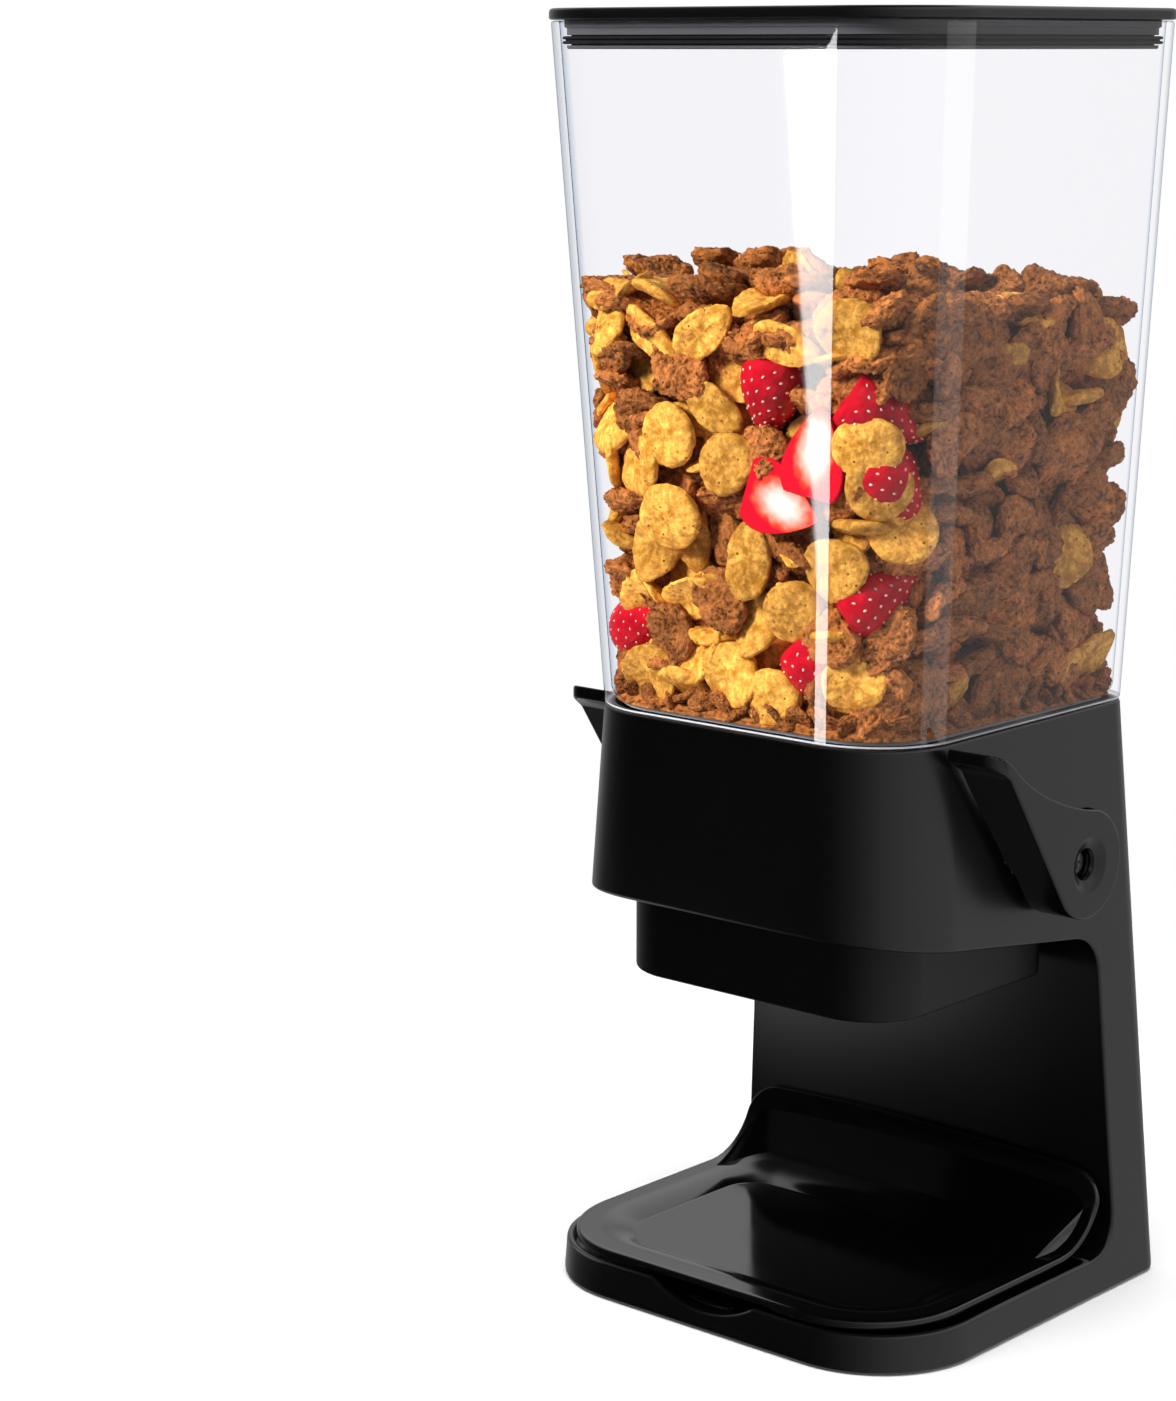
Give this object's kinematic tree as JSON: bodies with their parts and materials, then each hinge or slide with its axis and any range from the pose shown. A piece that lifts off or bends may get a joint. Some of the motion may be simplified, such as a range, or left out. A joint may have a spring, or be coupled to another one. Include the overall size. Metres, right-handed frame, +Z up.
{
  "type": "cereal dispenser",
  "caption": "Countertop dry-food dispenser: clear lift-off hopper on a C-shaped stand, with side levers that open a flap above a bowl space and a lift-out drip tray.",
  "frame": {"origin": "centre of the bounding box on the plane the feet stand on", "axes": "+Z up along the height, +X to the dispenser's own right as seen from its front, front towards -Y"},
  "size_m": [0.168, 0.147, 0.4],
  "materials": {
    "satin_black": "satin black ABS",
    "gloss_black": "high gloss black ABS",
    "clear_plastic": "clear moulded plastic",
    "black_rubber": "matt rubber",
    "steel": "plated steel",
    "pale_plastic": "natural acetal"
  },
  "bodies": {
    "base": {"stand": "satin_black", "base_plate": "satin_black", "foot_front_left": "black_rubber", "foot_front_right": "black_rubber", "foot_rear_left": "black_rubber", "foot_rear_right": "black_rubber", "base_screw_front_left": "steel", "base_screw_front_right": "steel", "base_screw_rear_left": "steel", "base_screw_rear_right": "steel", "chute": "satin_black", "funnel": "satin_black", "chute_screw_front_left": "steel", "chute_screw_front_right": "steel", "chute_screw_rear_left": "steel", "chute_screw_rear_right": "steel", "bush_left": "pale_plastic", "bush_right": "pale_plastic", "return_spring_left": "steel", "return_spring_right": "steel"},
    "drip_tray": {"tray": "gloss_black"},
    "dispense_lever": {"shaft": "steel", "flap": "satin_black", "flap_seal": "black_rubber", "flap_screw_left": "steel", "flap_screw_right": "steel", "lever_left": "satin_black", "lever_right": "satin_black", "lever_screw_left": "steel", "lever_screw_right": "steel", "washer_left": "steel", "washer_right": "steel"},
    "hopper_body": {"hopper": "clear_plastic"},
    "lid_body": {"lid": "satin_black", "lid_gasket": "black_rubber"}
  },
  "joints": [
    {"name": "lever_press", "type": "hinge", "parent": "base", "child": "dispense_lever", "pos_m": [0, 0.0115, 0.1468], "axis": [1, 0, 0], "range_deg": [0, 28], "stiffness_Nm_per_rad": 0.5, "springref_deg": -28.65},
    {"name": "tray_lift", "type": "slide", "parent": "base", "child": "drip_tray", "axis": [0, -0.9063, 0.4226], "range_m": [0, 0.18]},
    {"name": "hopper_lift", "type": "slide", "parent": "base", "child": "hopper_body", "axis": [0, 0, 1], "range_m": [0, 0.05]},
    {"name": "lid_lift", "type": "slide", "parent": "hopper_body", "child": "lid_body", "axis": [0, 0, 1], "range_m": [0, 0.06]}
  ]
}
